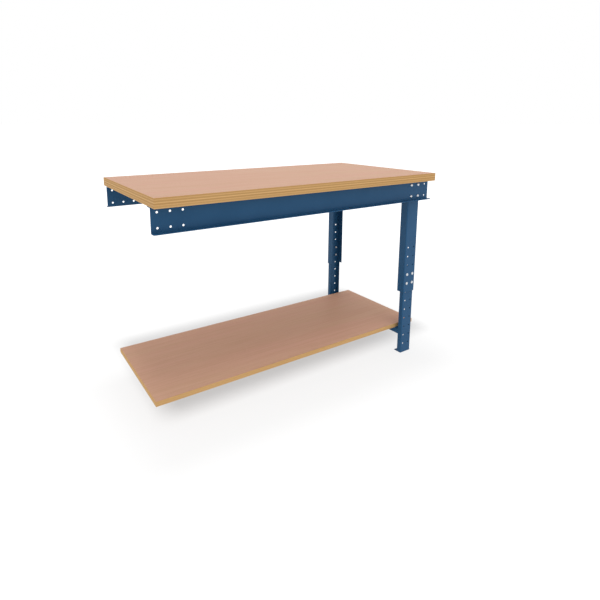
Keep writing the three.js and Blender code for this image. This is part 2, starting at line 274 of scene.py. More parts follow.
def mix_colours(tree, share, first, second):
    """A share of the second colour over the first, by the Mix node's sockets for colours."""
    inputs = {0: share, 6: first, 7: second}
    return add_node(tree, "ShaderNodeMix", inputs, data_type="RGBA").outputs[2]


def map_range(tree, value, low, high, to_low=0.0, to_high=1.0):
    """A value carried over from one range to another and held inside it."""
    inputs = {"Value": value, "From Min": low, "From Max": high, "To Min": to_low, "To Max": to_high}
    return add_node(tree, "ShaderNodeMapRange", inputs).outputs[0]


def noise(tree, vector, stretch, detail=2.0, roughness=0.5):
    """Noise on coordinates multiplied by stretch."""
    scaled = vector_maths(tree, "MULTIPLY", vector, stretch)
    inputs = {"Vector": scaled, "Scale": 1.0, "Detail": detail, "Roughness": roughness}
    return add_node(tree, "ShaderNodeTexNoise", inputs).outputs["Fac"]


def new_group(name, inputs, outputs, kind="ShaderNodeTree"):
    """An empty node group, the sockets that feed it and the node that takes its results."""
    tree = bpy.data.node_groups.new(name, kind)
    for way, sockets in (("INPUT", inputs), ("OUTPUT", outputs)):
        for socket, value in sockets.items():
            tree.interface.new_socket(socket, in_out=way, socket_type="NodeSocket" + value)
    return tree, tree.nodes.new("NodeGroupInput").outputs, tree.nodes.new("NodeGroupOutput")


def use_group(tree, group, inputs):
    """The outputs of a shader node group placed in a tree."""
    return add_node(tree, "ShaderNodeGroup", inputs, node_tree=group).outputs


def new_material(name):
    """An empty material: its tree, its Principled shader and its Object coordinates."""
    material = bpy.data.materials.new(name)
    material.use_nodes = True
    tree = material.node_tree
    tree.nodes.clear()
    shader = tree.nodes.new("ShaderNodeBsdfPrincipled")
    output = tree.nodes.new("ShaderNodeOutputMaterial")
    tree.links.new(shader.outputs[0], output.inputs["Surface"])
    place = tree.nodes.new("ShaderNodeTexCoord").outputs["Object"]
    return material, tree, shader, place


def bump(tree, shader, height, strength, distance):
    """Feeds a shader's normal from a height."""
    inputs = {"Height": height, "Strength": strength, "Distance": distance}
    feed(tree, shader, {"Normal": add_node(tree, "ShaderNodeBump", inputs).outputs[0]})


# Materials


def straight_grain():
    """Wood figure along X: broad bands, fine streaks and the short flecks of beech."""
    name = "Straight grain"
    if name in bpy.data.node_groups:
        return bpy.data.node_groups[name]
    inputs = {"Vector": "Vector", "Waviness": "Float"}
    outputs = {"Bands": "Float", "Streaks": "Float", "Flecks": "Float"}
    tree, given, result = new_group(name, inputs, outputs)
    drift = noise(tree, given["Vector"], (1.1, 2.0, 2.0), 1.0)
    sway = maths(tree, "MULTIPLY", maths(tree, "SUBTRACT", drift, 0.5), given["Waviness"])
    lift = add_node(tree, "ShaderNodeCombineXYZ", {"Y": sway, "Z": sway}).outputs[0]
    along = vector_maths(tree, "ADD", given["Vector"], lift)
    bands = map_range(tree, noise(tree, along, (0.8, 11.0, 11.0), 2.0), 0.35, 0.65)
    streaks = map_range(tree, noise(tree, along, (2.6, 150.0, 150.0), 4.0, 0.6), 0.4, 0.72)
    flecks = map_range(tree, noise(tree, along, (150.0, 1100.0, 1100.0), 1.0), 0.6, 0.7)
    feed(tree, result, {"Bands": bands, "Streaks": streaks, "Flecks": flecks})
    return tree


def surface_mottle():
    """Slow patches and a fine ripple, for sprayed and plated metal."""
    name = "Surface mottle"
    if name in bpy.data.node_groups:
        return bpy.data.node_groups[name]
    inputs = {"Vector": "Vector", "Patch Scale": "Float", "Ripple Scale": "Float"}
    tree, given, result = new_group(name, inputs, {"Patches": "Float", "Ripple": "Float"})
    patches = {"Vector": given["Vector"], "Scale": given["Patch Scale"], "Detail": 3.0}
    ripple = {"Vector": given["Vector"], "Scale": given["Ripple Scale"], "Detail": 1.0}
    wide = add_node(tree, "ShaderNodeTexNoise", patches).outputs["Fac"]
    fine = add_node(tree, "ShaderNodeTexNoise", ripple).outputs["Fac"]
    feed(tree, result, {"Patches": map_range(tree, wide, 0.35, 0.65), "Ripple": fine})
    return tree


def beech_face(settings):
    """Oiled beech veneer: pale red brown, straight grain with short flecks."""
    name = "beech face"
    if name in bpy.data.materials:
        return bpy.data.materials[name]
    material, tree, shader, place = new_material(name)
    grain = use_group(tree, straight_grain(), {"Vector": place, "Waviness": 0.03})
    base = mix_colours(tree, grain["Bands"], settings.face, settings.face_red)
    streaks = maths(tree, "MULTIPLY", grain["Streaks"], 0.3)
    streaked = mix_colours(tree, streaks, base, settings.face_dark)
    flecks = maths(tree, "MULTIPLY", grain["Flecks"], 0.35)
    flecked = mix_colours(tree, flecks, streaked, settings.face_dark)
    rough = map_range(tree, grain["Streaks"], 0, 1, 0.5, 0.6)
    feed(tree, shader, {"Base Color": flecked, "Roughness": rough, "Specular IOR Level": 0.12})
    bump(tree, shader, grain["Streaks"], 0.15, 0.4 * MM)
    return material


def beech_edge(settings, name, bottom, ply, contrast):
    """Sawn multiplex edge: glued plies, every second one end grain."""
    material, tree, shader, place = new_material(name)
    grain = use_group(tree, straight_grain(), {"Vector": place, "Waviness": 0.004})
    height = add_node(tree, "ShaderNodeSeparateXYZ", {0: place}).outputs["Z"]
    layer = maths(tree, "DIVIDE", maths(tree, "SUBTRACT", height, bottom), ply)
    number = maths(tree, "FLOOR", layer)
    odd = maths(tree, "MULTIPLY", maths(tree, "PINGPONG", number, 1.0), 0.65)
    random = add_node(tree, "ShaderNodeTexWhiteNoise", {"W": number}, noise_dimensions="1D")
    chance = maths(tree, "MULTIPLY", random.outputs["Value"], 0.35)
    dark = maths(tree, "MULTIPLY", maths(tree, "ADD", odd, chance), contrast)
    plies = mix_colours(tree, dark, settings.edge_light, settings.edge_dark)
    streaks = maths(tree, "MULTIPLY", grain["Streaks"], 0.35)
    streaked = mix_colours(tree, streaks, plies, settings.edge_dark)
    # The glue shows where a ply's height is furthest from its middle
    from_middle = maths(tree, "ABSOLUTE", maths(tree, "SUBTRACT", maths(tree, "FRACT", layer), 0.5))
    line = map_range(tree, from_middle, 0.42, 0.48)
    glued = mix_colours(tree, maths(tree, "MULTIPLY", line, 0.5), streaked, settings.glue)
    rough = map_range(tree, grain["Streaks"], 0, 1, 0.55, 0.68)
    feed(tree, shader, {"Base Color": glued, "Roughness": rough, "Specular IOR Level": 0.06})
    bump(tree, shader, maths(tree, "SUBTRACT", 1.0, line), 0.3, 0.3 * MM)
    return material


def blue_steel(settings):
    """Satin powder coat with a faint orange-peel ripple."""
    name = "blue powder coat"
    if name in bpy.data.materials:
        return bpy.data.materials[name]
    material, tree, shader, place = new_material(name)
    scales = {"Vector": place, "Patch Scale": 7.0, "Ripple Scale": 700.0}
    coat = use_group(tree, surface_mottle(), scales)
    base = mix_colours(tree, coat["Patches"], settings.paint, settings.paint_dark)
    rough = map_range(tree, coat["Patches"], 0, 1, 0.32, 0.38)
    feed(tree, shader, {"Base Color": base, "Roughness": rough, "Specular IOR Level": 0.18})
    bump(tree, shader, coat["Ripple"], 0.12, 0.3 * MM)
    return material


def zinc_steel(settings):
    """Bright zinc plating, slightly clouded."""
    name = "zinc plate"
    if name in bpy.data.materials:
        return bpy.data.materials[name]
    material, tree, shader, place = new_material(name)
    scales = {"Vector": place, "Patch Scale": 160.0, "Ripple Scale": 1600.0}
    plate = use_group(tree, surface_mottle(), scales)
    dull = tuple(0.82 * part for part in settings.zinc[:3]) + (1.0,)
    base = mix_colours(tree, plate["Patches"], settings.zinc, dull)
    rough = map_range(tree, plate["Patches"], 0, 1, 0.26, 0.4)
    feed(tree, shader, {"Base Color": base, "Roughness": rough, "Metallic": 0.9})
    bump(tree, shader, plate["Ripple"], 0.08, 0.1 * MM)
    return material


# Mesh helpers


def new_object(name, data):
    """An object with that mesh, lamp or camera, in the scene."""
    made = bpy.data.objects.new(name, data)
    bpy.context.scene.collection.objects.link(made)
    return made


def mesh_from(name, fill):
    """A mesh that the function fill makes in a bmesh."""
    shape = bmesh.new()
    fill(shape)
    mesh = bpy.data.meshes.new(name)
    shape.to_mesh(mesh)
    shape.free()
    return mesh


def freeze(piece):
    """Turns a piece with its modifiers into a plain mesh."""
    ready = piece.evaluated_get(bpy.context.evaluated_depsgraph_get())
    mesh = bpy.data.meshes.new_from_object(ready)
    mesh.name = piece.name
    piece.modifiers.clear()
    old = piece.data
    piece.data = mesh
    bpy.data.meshes.remove(old)


def settle(piece, body, nodes):
    """Puts a finished piece on its body in place of the plain nodes."""
    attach(piece, body)
    if nodes:
        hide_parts(*nodes)


def node_names(kind, sides=SIDES):
    """Numbered nodes of one kind of fastener, front and rear or at the sides named."""
    return [f"{side}_{kind}_{i + 1}" for side in sides for i in range(FASTENERS_PER_SIDE)]


def middle(node):
    """The middle of a node's box."""
    low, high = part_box(node)
    return (low + high) / 2


def round_edges(shape, edges, radius, steps):
    """Rounds some edges of a shape."""
    bmesh.ops.bevel(shape, geom=edges, offset=radius, segments=steps, profile=0.5, affect="EDGES")


def board(name, node, face, edge, radius):
    """A board or plate with rounded arrises: level faces in one material, edges in another."""
    low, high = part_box(node)

    def fill(shape):
        bmesh.ops.create_cube(shape, size=1.0)
        for vertex in shape.verts:
            vertex.co = Vector(low[i] if vertex.co[i] < 0 else high[i] for i in range(3))
        round_edges(shape, list(shape.edges), radius, ARRIS_STEPS)
        for side in shape.faces:
            side.smooth = True
            side.material_index = 0 if abs(side.normal.z) > LEVEL else 1

    mesh = mesh_from(name, fill)
    mesh.materials.append(face)
    mesh.materials.append(edge)
    piece = new_object(name, mesh)
    piece.modifiers.new("Flat faces", "WEIGHTED_NORMAL").keep_sharp = False
    freeze(piece)
    return piece


def beech_board(boards, name, node, ply, contrast):
    """A beech board in place of a node, with plies of that thickness and contrast at its edges."""
    edge = beech_edge(boards, node + " edge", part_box(node)[0].z, ply, contrast)
    return board(name, node, beech_face(boards), edge, boards.edge_radius)


def bent_sheet(path, steel):
    """Outline of a sheet bent square along a path of straight runs through its middle."""
    half = steel.sheet / 2
    neutral = steel.bend + half
    points = [Vector(point) for point in path]
    runs = [(after - before).normalized() for before, after in zip(points, points[1:])]

    def left(run):
        return Vector((-run.y, run.x))

    def offset_side(side):
        outline = [points[0] + left(runs[0]) * side]
        for corner, run, following in zip(points[1:], runs, runs[1:]):
            turn = 1 if run.x * following.y - run.y * following.x > 0 else -1
            centre = corner - run * neutral + left(run) * turn * neutral
            radius = neutral - turn * side
            start = math.atan2(-turn * left(run).y, -turn * left(run).x)
            for step in range(ARC_STEPS + 1):
                angle = start + turn * math.pi / 2 * step / ARC_STEPS
                outline.append(centre + radius * Vector((math.cos(angle), math.sin(angle))))
        outline.append(points[-1] + left(runs[-1]) * side)
        return outline

    return offset_side(half) + offset_side(-half)[::-1]


def channel(left, right, edge, web, steel):
    """Outline of a channel between two sides, from its free edges to the middle of its web."""
    left, right = left + steel.sheet / 2, right - steel.sheet / 2
    return bent_sheet([(left, edge), (left, web), (right, web), (right, edge)], steel)


def vertex_ring(shape, points):
    """Vertices about Z from (angle, radius, height) points."""
    return [shape.verts.new((r * math.cos(a), r * math.sin(a), z)) for a, r, z in points]


def skin(shape, rings):
    """A closed skin over a row of rings; a ring that repeats one vertex is a tip."""
    for lower, upper in zip(rings, rings[1:]):
        for i in range(len(lower)):
            after = (i + 1) % len(lower)
            corners = (lower[i], lower[after], upper[after], upper[i])
            shape.faces.new(list(dict.fromkeys(corners)))
    for end in (rings[0], rings[-1]):
        if end[0] != end[1]:
            shape.faces.new(end)
    bmesh.ops.recalc_face_normals(shape, faces=shape.faces)


def swept(name, outline, start, end, place):
    """A bar with that outline between two stations; place turns (a, b, station) into a point."""

    def fill(shape):
        skin(shape, [[shape.verts.new(place(a, b, at)) for a, b in outline] for at in (start, end)])

    return new_object(name, mesh_from(name, fill))


def turned(name, make_rings, sharp):
    """A smooth mesh over the rings that make_rings lays in a shape, with its edges past an angle sharp."""

    def fill(shape):
        skin(shape, list(make_rings(shape)))
        for side in shape.faces:
            side.smooth = True

    mesh = mesh_from(name, fill)
    mesh.set_sharp_from_angle(angle=sharp)
    return mesh


def lathe(name, profile, sides):
    """A round piece about Z from (radius, height) points that start and end on the axis."""
    angles = [math.tau * i / sides for i in range(sides)]

    def make_rings(shape):
        for radius, height in profile:
            if radius == 0:
                yield [shape.verts.new((0, 0, height))] * sides
            else:
                yield vertex_ring(shape, [(angle, radius, height) for angle in angles])

    return turned(name, make_rings, ROUND_SHARP)


def points_object(name, places, facing=None):
    """Loose points for a node tree, each with the direction it faces."""
    mesh = bpy.data.meshes.new(name)
    mesh.from_pydata([tuple(place) for place in places], [], [])
    if facing:
        layer = mesh.attributes.new("facing", "FLOAT_VECTOR", "POINT")
        for item, direction in zip(layer.data, facing):
            item.vector = direction
    return new_object(name, mesh)


# Geometry trees


def geometry_tree(name, inputs):
    """An empty geometry tree that takes and gives a shape."""
    shape = {"Geometry": "Geometry"}
    return new_group(name, {**shape, **inputs}, shape, "GeometryNodeTree")


def end_tree(tree, shape, given, result):
    """Ends a geometry tree: one plain mesh in the finish that it is given."""
    plain = add_node(tree, "GeometryNodeRealizeInstances", {"Geometry": shape}).outputs[0]
    inputs = {"Geometry": plain, "Material": given["Finish"]}
    done = add_node(tree, "GeometryNodeSetMaterial", inputs).outputs[0]
    tree.links.new(done, result.inputs[0])
    return tree


def drilled_tree():
    """Round holes through a sheet, at the points of another object, along Y."""
    name = "Drilled sheet"
    if name in bpy.data.node_groups:
        return bpy.data.node_groups[name]
    sizes = {"Radius": "Float", "Sides": "Int", "Reach": "Float"}
    inputs = {"Places": "Object", **sizes, "Finish": "Material"}
    tree, given, result = geometry_tree(name, inputs)
    places = add_node(tree, "GeometryNodeObjectInfo", {"Object": given["Places"]}).outputs["Geometry"]
    drill = {"Vertices": given["Sides"], "Radius": given["Radius"], "Depth": given["Reach"]}
    cutter = add_node(tree, "GeometryNodeMeshCylinder", drill).outputs["Mesh"]
    spots = {"Points": places, "Instance": cutter, "Rotation": (math.pi / 2, 0, 0)}
    drills = add_node(tree, "GeometryNodeInstanceOnPoints", spots).outputs[0]
    solid = add_node(tree, "GeometryNodeRealizeInstances", {"Geometry": drills}).outputs[0]
    sheet = {"Mesh 1": given["Geometry"], "Mesh 2": solid}
    cut = add_node(tree, "GeometryNodeMeshBoolean", sheet, operation="DIFFERENCE", solver="EXACT")
    smooth = add_node(tree, "GeometryNodeSetShadeSmooth", {"Geometry": cut.outputs[0]})
    return end_tree(tree, smooth.outputs[0], given, result)


def fasteners_tree():
    """One fastener on each point, along the point's facing, turned by a seeded angle."""
    name = "Fasteners"
    if name in bpy.data.node_groups:
        return bpy.data.node_groups[name]
    inputs = {"Fastener": "Object", "Seed": "Int", "Finish": "Material"}
    tree, given, result = geometry_tree(name, inputs)
    shape = add_node(tree, "GeometryNodeObjectInfo", {"Object": given["Fastener"]}).outputs["Geometry"]
    facing = add_node(tree, "GeometryNodeInputNamedAttribute", {"Name": "facing"}, data_type="FLOAT_VECTOR")
    upright = {"Vector": facing.outputs["Attribute"]}
    aligned = add_node(tree, "FunctionNodeAlignRotationToVector", upright, axis="Z").outputs[0]
    limits = {"Seed": given["Seed"], 2: 0.0, 3: math.tau}
    angle = add_node(tree, "FunctionNodeRandomValue", limits, data_type="FLOAT")
    spin = {"Axis": (0, 0, 1), "Angle": angle.outputs[1]}
    turn = add_node(tree, "FunctionNodeAxisAngleToRotation", spin).outputs[0]
    rotation = {"Rotation": aligned, "Rotate By": turn}
    spun = add_node(tree, "FunctionNodeRotateRotation", rotation, rotation_space="LOCAL").outputs[0]
    spots = {"Points": given["Geometry"], "Instance": shape, "Rotation": spun}
    placed = add_node(tree, "GeometryNodeInstanceOnPoints", spots).outputs[0]
    return end_tree(tree, placed, given, result)


def weld_tree():
    """A rippled bead along every polyline of a mesh."""
    name = "Weld bead"
    if name in bpy.data.node_groups:
        return bpy.data.node_groups[name]
    inputs = {"Radius": "Float", "Step": "Float", "Seed": "Int", "Finish": "Material"}
    tree, given, result = geometry_tree(name, inputs)
    paths = add_node(tree, "GeometryNodeMeshToCurve", {"Mesh": given["Geometry"]}).outputs[0]
    steps = {"Curve": paths, "Length": given["Step"]}
    stepped = add_node(tree, "GeometryNodeResampleCurve", steps, mode="LENGTH").outputs[0]
    limits = {"Seed": given["Seed"], 2: WELD_RIPPLE[0], 3: WELD_RIPPLE[1]}
    ripple = add_node(tree, "FunctionNodeRandomValue", limits, data_type="FLOAT")
    ends = add_node(tree, "GeometryNodeCurveEndpointSelection").outputs[0]
    taper = {"Switch": ends, "False": ripple.outputs[1], "True": WELD_END}
    scale = add_node(tree, "GeometryNodeSwitch", taper, input_type="FLOAT").outputs[0]
    ring = {"Resolution": WELD_SIDES, "Radius": given["Radius"]}
    profile = add_node(tree, "GeometryNodeCurvePrimitiveCircle", ring).outputs[0]
    sweep = {"Curve": stepped, "Profile Curve": profile, "Scale": scale, "Fill Caps": True}
    bead = add_node(tree, "GeometryNodeCurveToMesh", sweep).outputs[0]
    smooth = add_node(tree, "GeometryNodeSetShadeSmooth", {"Geometry": bead}).outputs[0]
    return end_tree(tree, smooth, given, result)


def add_tree(piece, tree, values):
    """Puts a geometry tree on a piece, with its inputs set by their sockets' identifiers."""
    modifier = piece.modifiers.new(tree.name, "NODES")
    modifier.node_group = tree
    sockets = tree.interface.items_tree
    ids = {item.name: item.identifier for item in sockets if item.in_out == "INPUT"}
    for name, value in values.items():
        modifier[ids[name]] = value


# Steel and fasteners


def steel_piece(piece, holes, steel):
    """Drills, paints and breaks the edges of a bent sheet."""
    places = points_object(piece.name + "_holes", holes)
    inputs = {
        "Places": places,
        "Radius": steel.hole_radius,
        "Sides": steel.hole_sides,
        "Reach": DRILL_REACH * steel.sheet,
        "Finish": blue_steel(steel),
    }
    add_tree(piece, drilled_tree(), inputs)
    edges = piece.modifiers.new("Broken edges", "BEVEL")
    edges.width = steel.burr
    edges.segments = BURR_STEPS
    edges.limit_method = "ANGLE"
    edges.angle_limit = BURR_SHARP
    piece.modifiers.new("Flat faces", "WEIGHTED_NORMAL").weight = FLAT_WEIGHT
    freeze(piece)
    bpy.data.objects.remove(places)
    return piece


def round_foot_corners(mesh, tip):
    """Rounds the two free corners of a rail's foot flange in plan; tip is the Y of its free edge."""
    shape = bmesh.new()
    shape.from_mesh(mesh)
    corners = []
    for edge in shape.edges:
        first, second = (vertex.co for vertex in edge.verts)
        at_tip = max(abs(first.y - tip), abs(second.y - tip)) < TOUCHING
        if at_tip and abs(first.x - second.x) < TOUCHING:
            corners.append(edge)
    if len(corners) != 2:
        raise RuntimeError(f"a rail's foot flange has {len(corners)} free corners, not 2")
    round_edges(shape, corners, RAIL_FOOT_CORNER, ARC_STEPS)
    shape.to_mesh(mesh)
    shape.free()


def leg_piece(name, node, sign, rows, steel, extra=()):
    """A leg channel, open to the middle of the table, with two columns of holes from its lower end."""
    low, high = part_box(node)
    face, edge = (low.y, high.y) if sign < 0 else (high.y, low.y)
    web = face - sign * steel.sheet / 2
    outline = channel(low.x, high.x, edge, web, steel)
    piece = swept(name, outline, low.z, high.z, lambda x, y, z: (x, y, z))
    centre = (low.x + high.x) / 2
    heights = [low.z + LEG_HOLE_PITCH * (row + 1) for row in range(rows)]
    holes = [(centre + x, web, z) for z in heights for x in (-LEG_HOLE_OFFSET, LEG_HOLE_OFFSET)]
    return steel_piece(piece, holes + [(x, web, z) for x, z in extra], steel)


def open_edge(node, sign):
    """The Y of a leg channel's free flange edges."""
    low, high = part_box(node)
    return high.y if sign < 0 else low.y


def welded(name, paths, steel):
    """Weld beads along paths, as one plain mesh."""
    points, edges = [], []
    for path in paths:
        start = len(points)
        points.extend(path)
        edges.extend((i, i + 1) for i in range(start, len(points) - 1))
    mesh = bpy.data.meshes.new(name)
    mesh.from_pydata(points, edges, [])
    piece = new_object(name, mesh)
    inputs = {
        "Radius": steel.weld_radius,
        "Step": steel.weld_step,
        "Seed": steel.weld_seed,
        "Finish": blue_steel(steel),
    }
    add_tree(piece, weld_tree(), inputs)
    freeze(piece)
    return piece


def thread_profile(radius, start, end, pitch):
    """Points of a threaded stretch between two heights, as crests and roots."""
    turns = max(1, round(abs(end - start) / pitch))
    step = (end - start) / turns
    depth = THREAD_DEPTH * pitch
    points = []
    for i in range(turns):
        points.append((radius, start + step * i))
        points.append((radius - depth, start + step * (i + 0.5)))
    points.append((radius, end))
    return points


def bolt_mesh(fasteners, shank):
    """A round-headed bolt: the head stands above z = 0 and the plain shank hangs below it."""
    radius, height, rim = fasteners.head_radius, fasteners.head_height, fasteners.head_rim
    shaft = fasteners.bolt_radius
    bottom = [(0, -shank), (shaft - SHANK_CHAMFER, -shank), (shaft, SHANK_CHAMFER - shank)]
    shoulder = [(shaft, 0), (radius - HEAD_EDGE, 0), (radius, HEAD_EDGE), (radius, rim)]
    dome = []
    for step in range(1, ARC_STEPS):
        angle = math.pi / 2 * step / ARC_STEPS
        dome.append((radius * math.cos(angle), rim + (height - rim) * math.sin(angle)))
    return lathe("bolt", bottom + shoulder + dome + [(0, height)], BOLT_SIDES)


def nut_mesh(fasteners):
    """A hexagon nut from z = 0 down, with the bolt's threaded end standing out of it."""
    flats, height, shaft = fasteners.nut_flats / 2, fasteners.nut_height, fasteners.bolt_radius
    face = NUT_FACE * flats
    bore = NUT_BORE_DEPTH - height
    end = -height - fasteners.bolt_end
    thread = thread_profile(shaft, bore, end, fasteners.pitch)
    tip = (shaft - BOLT_TIP_NARROWING, end - BOLT_TIP_LENGTH)
    sixth = math.pi / 3
    angles = [math.tau * i / BOLT_SIDES + sixth / 2 for i in range(BOLT_SIDES)]
    hexagon = [flats / math.cos((angle + sixth / 2) % sixth - sixth / 2) for angle in angles]
    drops = [NUT_SLOPE * (radius - face) for radius in hexagon]

    def make_rings(shape):
        def even(radius, z):
            return vertex_ring(shape, [(angle, radius, z) for angle in angles])

        rings = [
            even(face, 0),
            vertex_ring(shape, zip(angles, hexagon, [-drop for drop in drops])),
            vertex_ring(shape, zip(angles, hexagon, [drop - height for drop in drops])),
            even(face, -height),
            even(shaft + NUT_BORE_GAP, bore),
        ]
        return rings + [even(radius, z) for radius, z in thread + [tip]]

    return turned("nut", make_rings, NUT_SHARP)


def screw_mesh(fasteners, reach):
    """A pan-head wood screw: the head hangs below z = 0 and the point stands up."""
    radius, head, shank = fasteners.screw_head, fasteners.screw_height, fasteners.screw_shank
    dome = [(radius * math.cos(angle), -head * math.sin(angle)) for angle in SCREW_DOME]
    thread = thread_profile(shank, SCREW_NECK, reach - SCREW_POINT, fasteners.screw_pitch)
    profile = [(0, -head)] + dome + [(radius, 0), (shank, 0)] + thread + [(0, reach)]
    return lathe("screw", profile, SCREW_SIDES)


def fasten(name, mesh, places, facing, fasteners):
    """Sets one fastener mesh on many places and turns them into one plain mesh."""
    sample = new_object(name + "_sample", mesh)
    piece = points_object(name, places, facing)
    inputs = {"Fastener": sample, "Seed": fasteners.seed, "Finish": zinc_steel(fasteners)}
    add_tree(piece, fasteners_tree(), inputs)
    freeze(piece)
    bpy.data.objects.remove(sample)
    return piece


def outward(nodes, depth):
    """Places a depth inside the outer ends of some nodes' boxes, and the way out at each."""
    places, facing = [], []
    for node in nodes:
        low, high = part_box(node)
        sign = SIDES[node.split("_")[0]]
        end = high.y - depth if sign > 0 else low.y + depth
        places.append(((low.x + high.x) / 2, end, (low.z + high.z) / 2))
        facing.append((0, sign, 0))
    return places, facing


# Floor and light


def seen_directly(tree):
    """1 for what the camera, a reflection or glass shows of the stage, 0 for the light that it gives."""
    path = tree.nodes.new("ShaderNodeLightPath").outputs
    seen = maths(tree, "MAXIMUM", path["Is Camera Ray"], path["Is Glossy Ray"])
    return maths(tree, "MAXIMUM", seen, path["Is Transmission Ray"])


def white_world(strength):
    """A white backdrop that gives an even, weaker light."""
    world = bpy.data.worlds.new("white room")
    world.use_nodes = True
    tree = world.node_tree
    tree.nodes.clear()
    lit = map_range(tree, seen_directly(tree), 0.0, 1.0, strength, 1.0)
    glow = add_node(tree, "ShaderNodeBackground", {"Color": (1, 1, 1, 1), "Strength": lit})
    output = tree.nodes.new("ShaderNodeOutputWorld")
    tree.links.new(glow.outputs[0], output.inputs["Surface"])
    bpy.context.scene.world = world


def floor_material(stage):
    """A grey floor, lifted to white, that keeps the table's shadow and fades into the backdrop."""
    material, tree, shader, place = new_material("pale floor")
    away = add_node(tree, "ShaderNodeVectorMath", {0: place}, operation="LENGTH").outputs["Value"]
    shown = map_range(tree, away, *stage.floor_fade, stage.floor_lift, 1.0)
    inputs = {
        "Base Color": stage.floor,
        "Roughness": 1.0,
        "Specular IOR Level": 0.0,
        "Emission Color": (1, 1, 1, 1),
        "Emission Strength": map_range(tree, seen_directly(tree), 0.0, 1.0, stage.floor_glow, shown),
    }
    feed(tree, shader, inputs)
    return material


def lamp_link(name, item, state):
    """A collection that links a lamp to one object with INCLUDE, or to all but that one with EXCLUDE."""
    link = bpy.data.collections.new(name)
    link.objects.link(item)
    link.collection_objects[0].light_linking.link_state = state
    return link


def distant_lamp(name, towards, strength, width, lit):
    """A lamp far away in the direction towards."""
    data = bpy.data.lights.new(name, "SUN")
    data.energy = strength
    data.angle = width
    lamp = new_object(name, data)
    lamp.rotation_euler = Vector(towards).to_track_quat("Z", "Y").to_euler()
    lamp.light_linking.receiver_collection = lit


def softbox(name, place, power, size, lit, shading=None):
    """An oval lamp that shines straight down, with shadows from all objects or from those of shading."""
    data = bpy.data.lights.new(name, "AREA")
    data.shape = "ELLIPSE"
    data.size, data.size_y = size
    data.energy = power
    lamp = new_object(name, data)
    lamp.location = place
    lamp.light_linking.receiver_collection = lit
    lamp.light_linking.blocker_collection = shading


# Operators


class TABLE_OT_worktop(Operator):
    """Makes the thick beech worktop"""

    bl_idname = "table.worktop"
    bl_label = "Worktop"

    def execute(self, context):
        boards = context.scene.assembly_table.boards
        contrast = boards.top_contrast
        piece = beech_board(boards, "worktop_board", "worktop", boards.top_ply, contrast)
        settle(piece, UPPER, ["worktop"])
        return {"FINISHED"}


class TABLE_OT_lower_shelf(Operator):
    """Makes the lower shelf"""

    bl_idname = "table.lower_shelf"
    bl_label = "Lower shelf"

    def execute(self, context):
        boards = context.scene.assembly_table.boards
        contrast = boards.shelf_contrast
        piece = beech_board(boards, "shelf_board", "lower_shelf", boards.shelf_ply, contrast)
        settle(piece, LOWER, ["lower_shelf"])
        return {"FINISHED"}


class TABLE_OT_side_rails(Operator):
    """Makes the two bent side rails with their bolt holes"""

    bl_idname = "table.side_rails"
    bl_label = "Side rails"

    def execute(self, context):
        steel = context.scene.assembly_table.steel
        for side, sign in SIDES.items():
            low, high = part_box(f"{side}_rail")
            tip = max(abs(low.y), abs(high.y))
            web = tip - RAIL_FOOT_FLANGE - steel.sheet / 2
            inner = tip - RAIL_FOOT_FLANGE - steel.sheet - RAIL_SCREW_FLANGE
            foot, head = low.z + steel.sheet / 2, high.z - steel.sheet / 2
            path = [(sign * tip, foot), (sign * web, foot), (sign * web, head), (sign * inner, head)]
            outline = bent_sheet(path, steel)
            piece = swept(f"{side}_side_rail", outline, low.x, high.x, lambda y, z, x: (x, y, z))
            round_foot_corners(piece.data, sign * tip)
            columns = [x for d in RAIL_HOLES_FROM_END for x in (low.x + d, high.x - d)]
            rows = (low.z + RAIL_HOLE_MARGIN, high.z - RAIL_HOLE_MARGIN)
            holes = [(x, sign * web, z) for x in columns for z in rows]
            settle(steel_piece(piece, holes, steel), UPPER, [f"{side}_rail"])
        return {"FINISHED"}


class TABLE_OT_outer_legs(Operator):
    """Makes the upper leg channels that are bolted to the rails"""

    bl_idname = "table.outer_legs"
    bl_label = "Outer legs"

    def execute(self, context):
        steel = context.scene.assembly_table.steel
        for side, sign in SIDES.items():
            bolts = [middle(name) for name in node_names("rail_bolt", [side])]
            extra = [(place.x, place.z) for place in bolts]
            node = f"{side}_outer_leg"
            piece = leg_piece(f"{side}_upper_channel", node, sign, OUTER_HOLE_ROWS, steel, extra)
            settle(piece, UPPER, [node])
        return {"FINISHED"}


class TABLE_OT_inner_legs(Operator):
    """Makes the lower leg channels"""

    bl_idname = "table.inner_legs"
    bl_label = "Inner legs"

    def execute(self, context):
        steel = context.scene.assembly_table.steel
        for side, sign in SIDES.items():
            node = f"{side}_inner_leg"
            piece = leg_piece(f"{side}_lower_channel", node, sign, INNER_HOLE_ROWS, steel)
            settle(piece, LOWER, [node])
        return {"FINISHED"}


class TABLE_OT_foot_plates(Operator):
    """Makes the plates under the legs"""

    bl_idname = "table.foot_plates"
    bl_label = "Foot plates"

    def execute(self, context):
        steel = context.scene.assembly_table.steel
        paint = blue_steel(steel)
        for side in SIDES:
            node = f"{side}_foot_plate"
            piece = board(f"{side}_foot", node, paint, paint, steel.burr)
            settle(piece, LOWER, [node])
        return {"FINISHED"}


class TABLE_OT_cross_members(Operator):
    """Makes the shelf bearer and the head tie between the legs"""

    bl_idname = "table.cross_members"
    bl_label = "Cross members"

    def execute(self, context):
        steel = context.scene.assembly_table.steel
        members = {"shelf_bearer": ("shelf_crossbar", LOWER), "head_tie": ("head_crossbar", UPPER)}
        for node, (name, body) in members.items():
            low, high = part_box(node)
            outline = channel(low.x, high.x, low.z, high.z - steel.sheet / 2, steel)
            piece = swept(name, outline, low.y, high.y, lambda x, z, y: (x, y, z))
            settle(steel_piece(piece, [], steel), body, [node])
        return {"FINISHED"}


